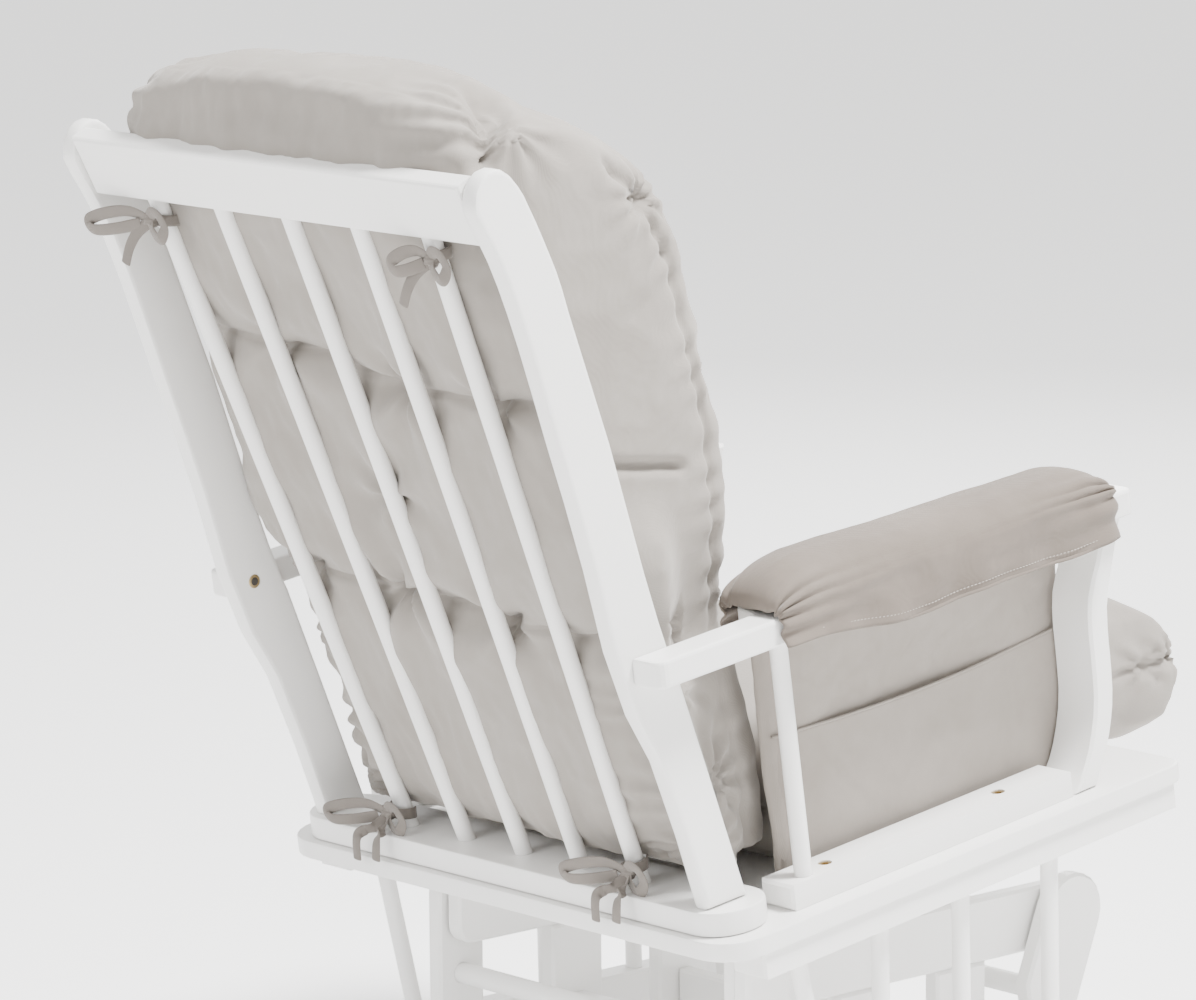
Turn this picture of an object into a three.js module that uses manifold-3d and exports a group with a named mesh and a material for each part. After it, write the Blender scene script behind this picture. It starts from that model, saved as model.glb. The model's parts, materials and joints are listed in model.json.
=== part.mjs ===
import * as THREE from "three";
import { mergeVertices } from "three/addons/utils/BufferGeometryUtils.js";
import Module from "manifold-3d";

// Glider nursery chair. Millimetres, +Z up, the sitter faces -Y and has +X at the left hand.
// The level frame has its origin on the floor under the rear edge of the seat board.
// The seat frame is the same frame raised to that edge and tilted back by SEAT_TILT.

// clearances
const SEATED = 0.3;
const RUNNING = 1;
const BORE_FIT = 0.3;
const TENON = 12;

// seat board
const SEAT_TILT = THREE.MathUtils.degToRad(8.1);
const SEAT_REAR_HEIGHT = 290;
const SEAT_WIDTH = 682;
const SEAT_DEPTH = 636;
const SEAT_THICK = 20;
const SEAT_REAR_CORNER = 45;
const SEAT_FRONT_CORNER = 22;

// rails under the seat board, set back from its edges
const UNDER_RAIL_WIDTH = 46;
const UNDER_RAIL_HEIGHT = 26;
const UNDER_RAIL_INSET = 5;
const UNDER_RAIL_REAR_SETBACK = 44;
const UNDER_RAIL_FRONT_SETBACK = 14;

// back frame, its sides set in from the sides of the seat board
const BACK_RAIL_INSET = 20;
const BACK_RAIL_DEPTH = 84;
const BACK_RAIL_HEIGHT = 25;
const BACK_RAIL_CORNER = 40;
const BACK_RAIL_SETBACK = 7;
const UPRIGHT_INSET = 44;
const UPRIGHT_THICK = 22;
const UPRIGHT_EDGE = 6;
const UPRIGHT_STEPS = 14;
const UPRIGHT_SCROLL_STEPS = 9;
const UPRIGHT_SPLAY = THREE.MathUtils.degToRad(1.08);
const TOP_RAIL_HEIGHT = 64;
const TOP_RAIL_THICK = 22;
const TOP_RAIL_LEAN = THREE.MathUtils.degToRad(19);
const TOP_RAIL_FOOT_Y = 146;
const TOP_RAIL_FOOT_RISE = 695;
const SPINDLE_DIAMETER = 18;
const BACK_SPINDLES = 5;
const BACK_SPINDLE_FOOT_Y = -42;
const BACK_SPINDLE_FOOT_MARGIN = 101;
const BACK_SPINDLE_HEAD_MARGIN = 83;

// side profile of an upright, as y and the rise above the back rail
const UPRIGHT_REAR = [
  [-17, 0], [17, 142], [57, 240], [83, 382], [107, 490], [126, 578], [141, 637], [155, 680], [168, 708],
];
const UPRIGHT_SCROLL = [[176, 728], [173, 746], [160, 761], [143, 763], [127, 752], [115, 733]];
const UPRIGHT_FRONT = [
  [104, 706], [93, 676], [83, 645], [74, 604], [44, 480], [21, 362], [1, 274], [-13, 228], [-69, 0],
];

// arms, with setbacks from the front and side edges of the seat board
const ARM_UNDERSIDE = 290;
const ARM_THICK = 27;
const ARM_INSET = 1;
const ARM_WIDTH = 76;
const ARM_REAR_Y = 47;
const ARM_FRONT_SETBACK = 38;
const ARM_NOTCH_Y = -110;
const ARM_CORNER = 11;
const ARM_BASE_INSET = 23;
const ARM_BASE_WIDTH = 45;
const ARM_BASE_HEIGHT = 26;
const ARM_BASE_REAR_Y = -106;
const ARM_SPINDLE_SETBACK = 30;
const ARM_SPINDLE_INSET = 15;
const REAR_BOLT_Y = -172;
const FRONT_BOLT_SETBACK = 224;
const ARM_POST_WIDTH = 55;
const ARM_POST_SETBACK = 107;
const ARM_POST_STEPS = 15;

// side profile of an arm post, as y from its front foot corner and the share of its height
const ARM_POST_REAR = [
  [32, 0], [13, 0.09], [0, 0.19], [-9, 0.31], [-11, 0.45], [-11, 0.61], [-16, 0.73], [-32, 0.85], [-47, 1],
];
const ARM_POST_FRONT = [
  [-71, 1], [-56, 0.84], [-41, 0.68], [-38, 0.54], [-38, 0.45], [-36, 0.32], [-29, 0.21], [-19, 0.12], [0, 0],
];

// side spindles between an under rail and a lower side rail
const SIDE_SPINDLE_REAR_Y = -107;
const SIDE_SPINDLE_FRONT_SETBACK = 179;
const SIDE_SPINDLE_SPACING = [0, 0.32, 0.64, 1];
const SIDE_SPINDLE_RAKE = 5;
const REAR_SPINDLE_FOOT_SETBACK = 42;
const LOWER_RAIL_WIDTH = 34;
const LOWER_RAIL_HEIGHT = 45;

// swing gear
const UPPER_PIVOT_DROP = 60;
const LOWER_PIVOT_HEIGHT = 72;
const REAR_PIVOT_Y = -141;
const FRONT_PIVOT_SETBACK = 91;
const LINK_THICK = 20;
const LINK_TO_LOWER_RAIL = 55;
const LINK_TO_BASE = 3;
const REAR_LINK_WIDTH = 60;
const REAR_LINK_CORNER = 22;
const REAR_LINK_RISE = 38;
const LINK_FOOT_RADIUS = 28;
const FRONT_LINK_HEAD_RADIUS = 40;
const FRONT_LINK_HEAD_LEAD = 25;
const FRONT_LINK_HEAD_RISE = 4;
const FRONT_LINK_LEAN = THREE.MathUtils.degToRad(21.5);
const FRONT_LINK_KNEE = 86;
const FRONT_LINK_HEAD_STEPS = 10;
const LINK_FOOT_STEPS = 8;
const SWING_DOWEL_DIAMETER = 22;
const SWING_DOWEL_DROP = 70;
const FRONT_DOWEL_SETBACK = 23;
const PIVOT_DIAMETER = 12;
const PIVOT_DEPTH = 15;
const AXLE_DEPTH = 24;

// base
const BASE_BOARD_THICK = 20;
const BASE_RAIL_HEIGHT = 66;
const BASE_RAIL_HEADROOM = 32;
const BASE_RAIL_REAR_END = 23;
const BASE_RAIL_FRONT_END = 27;
const BASE_RAIL_CORNER = 20;
const BASE_POST_SPACING = [0.344, 0.715];
const BASE_POST_DEPTH = 70;
const RUNNER_WIDTH = 34;
const RUNNER_HEIGHT = 36;
const RUNNER_REAR_END = 55;
const RUNNER_FRONT_END = 67;
const RUNNER_END_RADIUS = 16;
const STRETCHER_HEIGHT = 60;
const STRETCHER_THICK = 20;
const STRETCHER_LIFT = 24;

// upholstery
const SEAT_CUSHION_SIDE_GAP = 7;
const SEAT_CUSHION_HEIGHT = 128;
const SEAT_CUSHION_REAR_Y = -176;
const SEAT_CUSHION_OVERHANG = 94;
const SEAT_CUSHION_EDGE = 34;
const BACK_CUSHION_LOWER_GAP = 6;
const BACK_CUSHION_UPPER_INSET = 8;
const COVER_RISE = 50;
const COVER_OVERHANG = 8;
const COVER_WIDTH = 95;
const COVER_SKIRT = 12;
const COVER_WALL = 6.5;
const COVER_CHAMFER = 26;
const COVER_REAR_Y = -106;
const COVER_FRONT_SETBACK = 64;
const PANEL_REAR_Y = -146;
const PANEL_FRONT_SETBACK = 76;
const PANEL_LAP = 15;
const POCKET_DEPTH = 6;
const POCKET_WALL = 3.2;
const POCKET_REAR_Y = -168;
const POCKET_FRONT_SETBACK = 160;
const POCKET_HEIGHT = 142;

// side profile of the back cushion, as y and the rise above the back rail
const BACK_CUSHION_TOP = [[138, 777], [124, 807], [74, 827], [44, 817]];
const BACK_CUSHION_FRONT = [
  [20, 787], [-25, 756], [-57, 721], [-84, 671], [-102, 595],
  [-119, 503], [-127, 405], [-132, 295], [-158, 155], [-168, 19],
];
const BACK_CUSHION_WING_POINTS = 7;

// fasteners
const BOLT_DIAMETER = 6;
const BOLT_HEAD_DIAMETER = 14;
const BOLT_HEAD_HEIGHT = 4;
const BOLT_SOCKET_DIAMETER = 8;
const BOLT_SOCKET_DEPTH = 2.5;
const BOLT_SINK = 1.2;
const BOLT_LENGTH = 58;

// facets of a round bar and the ease on a board's edges
const ROUND = 16;
const SLIM_ROUND = 10;
const EDGE = 3;

// places across the chair, measured from its middle
const seatHalf = SEAT_WIDTH / 2;
const underRailOutside = seatHalf - UNDER_RAIL_INSET;
const underRailMiddle = underRailOutside - UNDER_RAIL_WIDTH / 2;
const uprightFootInside = seatHalf - UPRIGHT_INSET - UPRIGHT_THICK;
const armOutside = seatHalf - ARM_INSET;
const armBaseOutside = seatHalf - ARM_BASE_INSET;
const armSpindleX = armBaseOutside - ARM_SPINDLE_INSET;
const coverOutside = seatHalf + COVER_OVERHANG;
const coverInside = coverOutside - COVER_WIDTH;
const lowerRailInside = underRailMiddle - LOWER_RAIL_WIDTH / 2;
const linkInside = lowerRailInside - LINK_TO_LOWER_RAIL - LINK_THICK;
const baseBoardOutside = linkInside - LINK_TO_BASE;
const baseBoardInside = baseBoardOutside - BASE_BOARD_THICK;
const baseBoardMiddle = (baseBoardOutside + baseBoardInside) / 2;

// heights
const boardTop = SEAT_THICK + SEATED;
const backRailTop = boardTop + BACK_RAIL_HEIGHT;
const armBaseTop = boardTop + ARM_BASE_HEIGHT;
const armTop = ARM_UNDERSIDE + ARM_THICK;
const topRailFoot = backRailTop + TOP_RAIL_FOOT_RISE;
const upperPivotHeight = SEAT_REAR_HEIGHT - UPPER_PIVOT_DROP;
const baseRailTop = upperPivotHeight + BASE_RAIL_HEADROOM;
const baseRailBottom = baseRailTop - BASE_RAIL_HEIGHT;
const lowerRailTop = LOWER_PIVOT_HEIGHT + LOWER_RAIL_HEIGHT / 2;

// places from the rear of the seat board to its front
const fromFront = (setback) => setback - SEAT_DEPTH;
const frontPivotY = fromFront(FRONT_PIVOT_SETBACK);
const pivotYs = [REAR_PIVOT_Y, frontPivotY];
const lowerRailRear = REAR_PIVOT_Y + LINK_FOOT_RADIUS;
const armSpindleY = ARM_BASE_REAR_Y - ARM_SPINDLE_SETBACK;
const armPostFoot = fromFront(ARM_POST_SETBACK);
const armBoltYs = [REAR_BOLT_Y, fromFront(FRONT_BOLT_SETBACK)];
const sideSpindleYs = SIDE_SPINDLE_SPACING.map((share) => {
  const front = fromFront(SIDE_SPINDLE_FRONT_SETBACK);
  return SIDE_SPINDLE_REAR_Y + share * (front - SIDE_SPINDLE_REAR_Y);
});
const basePostYs = BASE_POST_SPACING.map((share) => REAR_PIVOT_Y + share * (frontPivotY - REAR_PIVOT_Y));

const wasm = await Module();
wasm.setup();

function material(color, roughness, metalness) {
  return new THREE.MeshStandardMaterial({ color, roughness, metalness });
}

const paint = () => material(0xece9e4, 0.42, 0);
const steel = () => material(0x8d9094, 0.35, 1);
const brass = () => material(0xb08d4f, 0.35, 1);
const fabric = () => material(0xa59c92, 0.92, 0);
const darkFabric = () => material(0x8b8178, 0.92, 0);

function node(name, geometry, finish) {
  const mesh = new THREE.Mesh(geometry, finish);
  mesh.name = name;
  return mesh;
}

function shapeOf(points) {
  return new THREE.Shape(points.map(([x, y]) => new THREE.Vector2(x, y)));
}

// a convex or concave outline with every corner rounded by its own radius
function roundedOutline(corners, steps = 4) {
  const points = [];
  corners.forEach(([x, y, radius = 0], index) => {
    const before = corners[(index + corners.length - 1) % corners.length];
    const after = corners[(index + 1) % corners.length];
    const corner = new THREE.Vector2(x, y);
    if (radius <= 0) {
      points.push([x, y]);
      return;
    }
    const toBefore = new THREE.Vector2(before[0] - x, before[1] - y).normalize();
    const toAfter = new THREE.Vector2(after[0] - x, after[1] - y).normalize();
    const half = Math.acos(THREE.MathUtils.clamp(toBefore.dot(toAfter), -1, 1)) / 2;
    const reach = radius / Math.tan(half);
    const middle = toBefore.clone().add(toAfter).normalize().multiplyScalar(radius / Math.sin(half)).add(corner);
    const start = toBefore.multiplyScalar(reach).add(corner).sub(middle);
    const end = toAfter.multiplyScalar(reach).add(corner).sub(middle);
    const turn = Math.atan2(start.x * end.y - start.y * end.x, start.dot(end));
    for (let step = 0; step <= steps; step += 1) {
      const arm = start.clone().rotateAround(new THREE.Vector2(), (turn * step) / steps);
      points.push([middle.x + arm.x, middle.y + arm.y]);
    }
  });
  return points;
}

// a slab of the outline, from 0 to thick along its own z, with eased edges
function slab(points, thick, edge = EDGE, segments = 1) {
  const geometry = new THREE.ExtrudeGeometry(shapeOf(points), {
    depth: thick - 2 * edge,
    bevelEnabled: edge > 0,
    bevelThickness: edge,
    bevelSize: edge,
    bevelOffset: -edge,
    bevelSegments: segments,
    steps: 1,
  });
  return geometry.translate(0, 0, edge);
}

// turns a slab drawn in y and z so that its thickness runs along +X from x
function acrossX(geometry, x) {
  const turn = new THREE.Matrix4().makeBasis(
    new THREE.Vector3(0, 1, 0),
    new THREE.Vector3(0, 0, 1),
    new THREE.Vector3(1, 0, 0),
  );
  return geometry.applyMatrix4(turn).translate(x, 0, 0);
}

// turns a slab drawn in x and z so that its thickness runs from y towards -Y
function alongY(geometry, y) {
  return geometry.rotateX(Math.PI / 2).translate(0, y, 0);
}

// a round bar between two points
function bar(from, to, radius, sides = ROUND) {
  const span = new THREE.Vector3().subVectors(to, from);
  const geometry = new THREE.CylinderGeometry(radius, radius, span.length(), sides);
  const turn = new THREE.Quaternion().setFromUnitVectors(new THREE.Vector3(0, 1, 0), span.clone().normalize());
  const middle = from.clone().add(to).multiplyScalar(0.5);
  return geometry.applyQuaternion(turn).translate(middle.x, middle.y, middle.z);
}

function solid(geometry) {
  const bare = geometry.clone();
  bare.deleteAttribute("normal");
  bare.deleteAttribute("uv");
  const merged = mergeVertices(bare, 1e-3);
  return new wasm.Manifold(new wasm.Mesh({
    numProp: 3,
    vertProperties: new Float32Array(merged.attributes.position.array),
    triVerts: new Uint32Array(merged.index.array),
  }));
}

function surface(body) {
  const mesh = body.getMesh();
  const geometry = new THREE.BufferGeometry();
  geometry.setAttribute("position", new THREE.BufferAttribute(new Float32Array(mesh.vertProperties), 3));
  geometry.setIndex(new THREE.BufferAttribute(new Uint32Array(mesh.triVerts), 1));
  geometry.computeVertexNormals();
  return geometry;
}

function bored(geometry, cutters) {
  return surface(cutters.reduce((body, cutter) => body.subtract(solid(cutter)), solid(geometry)));
}

function joined(first, second) {
  return surface(solid(first).add(solid(second)));
}

const point = (x, y, z) => new THREE.Vector3(x, y, z);

// a bore for a bar, wider by the fit and longer by one seat at the end that goes in
function bore(from, to, radius) {
  const reach = new THREE.Vector3().subVectors(to, from).normalize().multiplyScalar(SEATED);
  return bar(from.clone().sub(reach), to.clone().add(reach), radius + BORE_FIT);
}

// level point to seat frame and back, both measured from the rear edge of the seat board
function toSeat(level) {
  return level.clone().sub(point(0, 0, SEAT_REAR_HEIGHT)).applyAxisAngle(point(1, 0, 0), SEAT_TILT);
}

function toLevel(seat) {
  return seat.clone().applyAxisAngle(point(1, 0, 0), -SEAT_TILT).add(point(0, 0, SEAT_REAR_HEIGHT));
}

const sides = [["left", 1], ["right", -1]];

// mirrors a geometry of the left side to the right side, faces kept outwards
function onSide(geometry, side) {
  if (side > 0) return geometry;
  const mirrored = geometry.clone().applyMatrix4(new THREE.Matrix4().makeScale(-1, 1, 1));
  const flat = mirrored.index ? mirrored.toNonIndexed() : mirrored;
  const place = flat.attributes.position.array;
  for (let corner = 0; corner < place.length; corner += 9) {
    for (let axis = 0; axis < 3; axis += 1) {
      [place[corner + 3 + axis], place[corner + 6 + axis]] = [place[corner + 6 + axis], place[corner + 3 + axis]];
    }
  }
  flat.deleteAttribute("normal");
  if (flat.attributes.uv) flat.deleteAttribute("uv");
  flat.computeVertexNormals();
  return flat;
}

function pair(group, name, geometry, finish) {
  sides.forEach(([label, side]) => group.add(node(`${name}_${label}`, onSide(geometry, side), finish())));
}

// centre line of a back spindle, from foot to head, in the seat frame
function backSpindle(index) {
  const middle = (BACK_SPINDLES - 1) / 2;
  const headInside = uprightFootInside + TOP_RAIL_FOOT_RISE * Math.tan(UPRIGHT_SPLAY);
  const footPitch = (uprightFootInside - BACK_SPINDLE_FOOT_MARGIN) / middle;
  const headPitch = (headInside - BACK_SPINDLE_HEAD_MARGIN) / middle;
  const foot = point((index - middle) * footPitch, BACK_SPINDLE_FOOT_Y, backRailTop);
  const head = point((index - middle) * headPitch, TOP_RAIL_FOOT_Y, topRailFoot);
  const along = new THREE.Vector3().subVectors(head, foot).normalize();
  return [foot.addScaledVector(along, -TENON), head.addScaledVector(along, TENON)];
}

// centre line of a side spindle on the left, from head to foot, in the level frame
function sideSpindle(index) {
  const head = toLevel(point(underRailMiddle, sideSpindleYs[index], -SEATED - UNDER_RAIL_HEIGHT));
  const foot = point(underRailMiddle, head.y - SIDE_SPINDLE_RAKE, lowerRailTop);
  if (index === 0) foot.setY(lowerRailRear - REAR_SPINDLE_FOOT_SETBACK);
  const along = new THREE.Vector3().subVectors(foot, head).normalize();
  return [head.addScaledVector(along, -TENON), foot.addScaledVector(along, TENON)];
}

function armBolt(y) {
  const x = armBaseOutside - ARM_BASE_WIDTH / 2;
  const top = armBaseTop - BOLT_SINK;
  return [point(x, y, top), point(x, y, top - BOLT_LENGTH)];
}

// room for a bolt: its head, open to the top, and its shank
function boltRoom(y) {
  const [top, tip] = armBolt(y);
  const mouth = top.clone().setZ(armBaseTop + EDGE);
  const seat = top.clone().setZ(top.z - BOLT_HEAD_HEIGHT - SEATED);
  const head = bar(seat, mouth, BOLT_HEAD_DIAMETER / 2 + BORE_FIT);
  return [head, bore(top, tip, BOLT_DIAMETER / 2)];
}

function bolt(y) {
  const [top, tip] = armBolt(y);
  const underHead = top.clone().setZ(top.z - BOLT_HEAD_HEIGHT);
  const socketFloor = top.clone().setZ(top.z - BOLT_SOCKET_DEPTH);
  const inHead = top.clone().setZ(top.z - BOLT_HEAD_HEIGHT / 2 - BOLT_SOCKET_DEPTH / 2);
  const head = bar(underHead, top, BOLT_HEAD_DIAMETER / 2);
  const body = joined(head, bar(tip, inHead, BOLT_DIAMETER / 2, SLIM_ROUND));
  const socket = bar(socketFloor, top.clone().setZ(top.z + EDGE), BOLT_SOCKET_DIAMETER / 2, 6);
  return bored(body, [socket]);
}

function seatBoard() {
  const outline = roundedOutline([
    [seatHalf, 0, SEAT_REAR_CORNER],
    [-seatHalf, 0, SEAT_REAR_CORNER],
    [-seatHalf, -SEAT_DEPTH, SEAT_FRONT_CORNER],
    [seatHalf, -SEAT_DEPTH, SEAT_FRONT_CORNER],
  ], 6);
  const cutters = armBoltYs.flatMap((y) => {
    const [top, tip] = armBolt(y);
    return sides.map(([, side]) => onSide(bore(top, tip, BOLT_DIAMETER / 2), side));
  });
  return bored(slab(outline, SEAT_THICK, EDGE, 2), cutters);
}

function underRail() {
  const inside = underRailOutside - UNDER_RAIL_WIDTH;
  const bottom = -SEATED - UNDER_RAIL_HEIGHT;
  const outline = roundedOutline([
    [underRailOutside, -SEATED], [inside, -SEATED], [inside, bottom], [underRailOutside, bottom],
  ]);
  const length = -UNDER_RAIL_REAR_SETBACK - fromFront(UNDER_RAIL_FRONT_SETBACK);
  const cutters = sideSpindleYs.map((y, index) => {
    const [head, foot] = sideSpindle(index);
    return bore(toSeat(head), toSeat(foot), SPINDLE_DIAMETER / 2);
  });
  armBoltYs.forEach((y) => cutters.push(bore(...armBolt(y), BOLT_DIAMETER / 2)));
  return bored(alongY(slab(outline, length), -UNDER_RAIL_REAR_SETBACK), cutters);
}

function armBaseRail() {
  const inside = armBaseOutside - ARM_BASE_WIDTH;
  const postRear = armPostFoot + ARM_POST_REAR[0][0];
  const length = ARM_BASE_REAR_Y - (postRear + RUNNING);
  const outline = roundedOutline([
    [armBaseOutside, armBaseTop], [inside, armBaseTop], [inside, boardTop], [armBaseOutside, boardTop],
  ]);
  const cutters = armBoltYs.flatMap(boltRoom);
  cutters.push(bore(...armSpindleLine(), SPINDLE_DIAMETER / 2));
  return bored(alongY(slab(outline, length), ARM_BASE_REAR_Y), cutters);
}

function armSpindleLine() {
  const foot = point(armSpindleX, armSpindleY, armBaseTop - TENON);
  const head = point(armSpindleX, armSpindleY, ARM_UNDERSIDE + TENON);
  return [foot, head];
}

function armPost() {
  const height = ARM_UNDERSIDE - SEATED - boardTop;
  const place = ([y, share]) => new THREE.Vector2(armPostFoot + y, boardTop + share * height);
  const rear = new THREE.SplineCurve(ARM_POST_REAR.map(place)).getPoints(ARM_POST_STEPS);
  const front = new THREE.SplineCurve(ARM_POST_FRONT.map(place)).getPoints(ARM_POST_STEPS);
  const outline = [...rear, ...front].map((p) => [p.x, p.y]);
  return acrossX(slab(outline, ARM_POST_WIDTH), armBaseOutside - ARM_POST_WIDTH);
}

function arm() {
  const inside = armOutside - ARM_WIDTH;
  const front = fromFront(ARM_FRONT_SETBACK);
  const uprightOutside = uprightFootInside + UPRIGHT_THICK;
  const besideUpright = uprightOutside + (armTop - backRailTop) * Math.tan(UPRIGHT_SPLAY) + SEATED;
  const outline = roundedOutline([
    [armOutside, ARM_REAR_Y, ARM_CORNER],
    [besideUpright, ARM_REAR_Y],
    [besideUpright, ARM_NOTCH_Y],
    [inside, ARM_NOTCH_Y - ARM_CORNER, ARM_CORNER],
    [inside, front, ARM_CORNER],
    [armOutside, front, ARM_CORNER],
  ]);
  const board = slab(outline, ARM_THICK, EDGE, 2).translate(0, 0, ARM_UNDERSIDE);
  return bored(board, [bore(...armSpindleLine(), SPINDLE_DIAMETER / 2)]);
}

function backSpindleBores() {
  const bores = [];
  for (let index = 0; index < BACK_SPINDLES; index += 1) {
    bores.push(bore(...backSpindle(index), SPINDLE_DIAMETER / 2));
  }
  return bores;
}

function backRail() {
  const half = seatHalf - BACK_RAIL_INSET;
  const rear = -BACK_RAIL_SETBACK;
  const outline = roundedOutline([
    [half, rear, BACK_RAIL_CORNER],
    [-half, rear, BACK_RAIL_CORNER],
    [-half, rear - BACK_RAIL_DEPTH, BACK_RAIL_CORNER],
    [half, rear - BACK_RAIL_DEPTH, BACK_RAIL_CORNER],
  ], 6);
  const board = slab(outline, BACK_RAIL_HEIGHT, EDGE, 2).translate(0, 0, boardTop);
  return bored(board, backSpindleBores());
}

function upright() {
  const smooth = (points, count) => {
    const through = points.map(([y, z]) => new THREE.Vector2(y, z));
    return new THREE.SplineCurve(through).getPoints(count).map((p) => [p.x, p.y]);
  };
  const outline = [
    ...smooth(UPRIGHT_REAR, UPRIGHT_STEPS),
    ...smooth(UPRIGHT_SCROLL, UPRIGHT_SCROLL_STEPS),
    ...smooth(UPRIGHT_FRONT, UPRIGHT_STEPS),
  ];
  const board = acrossX(slab(outline, UPRIGHT_THICK, UPRIGHT_EDGE, 2), 0);
  const lift = backRailTop + SEATED + UPRIGHT_THICK * Math.tan(UPRIGHT_SPLAY);
  return board.rotateY(UPRIGHT_SPLAY).translate(uprightFootInside, 0, lift);
}

function topRail() {
  const lowHalf = uprightFootInside + TOP_RAIL_FOOT_RISE * Math.tan(UPRIGHT_SPLAY) - 2 * SEATED;
  const highHalf = lowHalf + TOP_RAIL_HEIGHT * Math.cos(TOP_RAIL_LEAN) * Math.tan(UPRIGHT_SPLAY);
  const outline = [[lowHalf, 0], [highHalf, TOP_RAIL_HEIGHT], [-highHalf, TOP_RAIL_HEIGHT], [-lowHalf, 0]];
  const board = slab(outline, TOP_RAIL_THICK, EDGE, 2)
    .translate(0, 0, -TOP_RAIL_THICK / 2)
    .rotateX(Math.PI / 2 - TOP_RAIL_LEAN)
    .translate(0, TOP_RAIL_FOOT_Y, topRailFoot);
  return bored(board, backSpindleBores());
}

function lowerRail() {
  const front = frontPivotY - LINK_FOOT_RADIUS;
  const bottom = lowerRailTop - LOWER_RAIL_HEIGHT;
  const round = LOWER_RAIL_HEIGHT / 3;
  const outline = roundedOutline([
    [lowerRailRear, lowerRailTop, round],
    [front, lowerRailTop, round],
    [front, bottom, round],
    [lowerRailRear, bottom, round],
  ]);
  const cutters = sideSpindleYs.map((y, index) => bore(...sideSpindle(index), SPINDLE_DIAMETER / 2));
  pivotYs.forEach((y) => cutters.push(bore(...axleEnds(y), PIVOT_DIAMETER / 2)));
  return bored(acrossX(slab(outline, LOWER_RAIL_WIDTH), lowerRailInside), cutters);
}

function axleEnds(y) {
  const reach = lowerRailInside + AXLE_DEPTH;
  return [point(-reach, y, LOWER_PIVOT_HEIGHT), point(reach, y, LOWER_PIVOT_HEIGHT)];
}

// an upper pivot pin, blind in the base rail and in the link
function upperPivotEnds(y) {
  const inRail = point(baseBoardOutside - PIVOT_DEPTH, y, upperPivotHeight);
  return [inRail, point(linkInside + PIVOT_DEPTH, y, upperPivotHeight)];
}

function dowelEnds(y, z) {
  const reach = linkInside + TENON;
  return [point(-reach, y, z), point(reach, y, z)];
}

const rearDowel = dowelEnds(REAR_PIVOT_Y, upperPivotHeight - SWING_DOWEL_DROP);
const frontDowel = dowelEnds(frontPivotY + FRONT_DOWEL_SETBACK, upperPivotHeight - SWING_DOWEL_DROP);

function linkBores(y, dowel) {
  return [
    bore(...upperPivotEnds(y), PIVOT_DIAMETER / 2),
    bore(...axleEnds(y), PIVOT_DIAMETER / 2),
    bore(...dowel, SWING_DOWEL_DIAMETER / 2),
  ];
}

function rearLink() {
  const half = REAR_LINK_WIDTH / 2;
  const top = upperPivotHeight + REAR_LINK_RISE;
  const bottom = LOWER_PIVOT_HEIGHT - LINK_FOOT_RADIUS;
  const outline = roundedOutline([
    [REAR_PIVOT_Y + half, top, REAR_LINK_CORNER],
    [REAR_PIVOT_Y - half, top, REAR_LINK_CORNER],
    [REAR_PIVOT_Y - half, bottom, LINK_FOOT_RADIUS],
    [REAR_PIVOT_Y + half, bottom, LINK_FOOT_RADIUS],
  ], 6);
  return bored(acrossX(slab(outline, LINK_THICK), linkInside), linkBores(REAR_PIVOT_Y, rearDowel));
}

// a board whose round head leans forward of its upper pivot and whose foot drops straight to the lower one
function frontLink() {
  const headHeight = upperPivotHeight + FRONT_LINK_HEAD_RISE;
  const head = new THREE.Vector2(frontPivotY - FRONT_LINK_HEAD_LEAD, headHeight);
  const down = new THREE.Vector2(Math.sin(FRONT_LINK_LEAN), -Math.cos(FRONT_LINK_LEAN));
  const rearwards = new THREE.Vector2(-down.y, down.x);
  const edge = (side, drop) => head.clone()
    .addScaledVector(rearwards, side * FRONT_LINK_HEAD_RADIUS)
    .addScaledVector(down, drop);
  const points = [];
  for (let step = 0; step <= FRONT_LINK_HEAD_STEPS; step += 1) {
    const angle = (Math.PI * step) / FRONT_LINK_HEAD_STEPS;
    const reach = rearwards.clone().multiplyScalar(Math.cos(angle)).addScaledVector(down, -Math.sin(angle));
    points.push(head.clone().addScaledVector(reach, FRONT_LINK_HEAD_RADIUS));
  }
  points.push(edge(-1, FRONT_LINK_KNEE));
  const foot = new THREE.Vector2(frontPivotY, LOWER_PIVOT_HEIGHT);
  for (let step = 0; step <= LINK_FOOT_STEPS; step += 1) {
    const angle = Math.PI + (Math.PI * step) / LINK_FOOT_STEPS;
    const reach = new THREE.Vector2(Math.cos(angle), Math.sin(angle));
    points.push(foot.clone().addScaledVector(reach, LINK_FOOT_RADIUS));
  }
  points.push(edge(1, FRONT_LINK_KNEE));
  const outline = points.map((p) => [p.x, p.y]);
  return bored(acrossX(slab(outline, LINK_THICK), linkInside), linkBores(frontPivotY, frontDowel));
}

function baseRail() {
  const rear = REAR_PIVOT_Y + BASE_RAIL_REAR_END;
  const front = frontPivotY - BASE_RAIL_FRONT_END;
  const outline = roundedOutline([
    [rear, baseRailTop, 2 * EDGE],
    [front, baseRailTop, 2 * EDGE],
    [front, baseRailBottom, BASE_RAIL_CORNER],
    [rear, baseRailBottom, BASE_RAIL_CORNER],
  ]);
  const board = acrossX(slab(outline, BASE_BOARD_THICK), baseBoardInside);
  const cutters = pivotYs.map((y) => bore(...upperPivotEnds(y), PIVOT_DIAMETER / 2));
  return bored(board, cutters);
}

function basePost(y) {
  const half = BASE_POST_DEPTH / 2;
  const top = baseRailBottom - SEATED;
  const bottom = RUNNER_HEIGHT + SEATED;
  const outline = [[y + half, top], [y - half, top], [y - half, bottom], [y + half, bottom]];
  return acrossX(slab(outline, BASE_BOARD_THICK), baseBoardInside);
}

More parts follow.
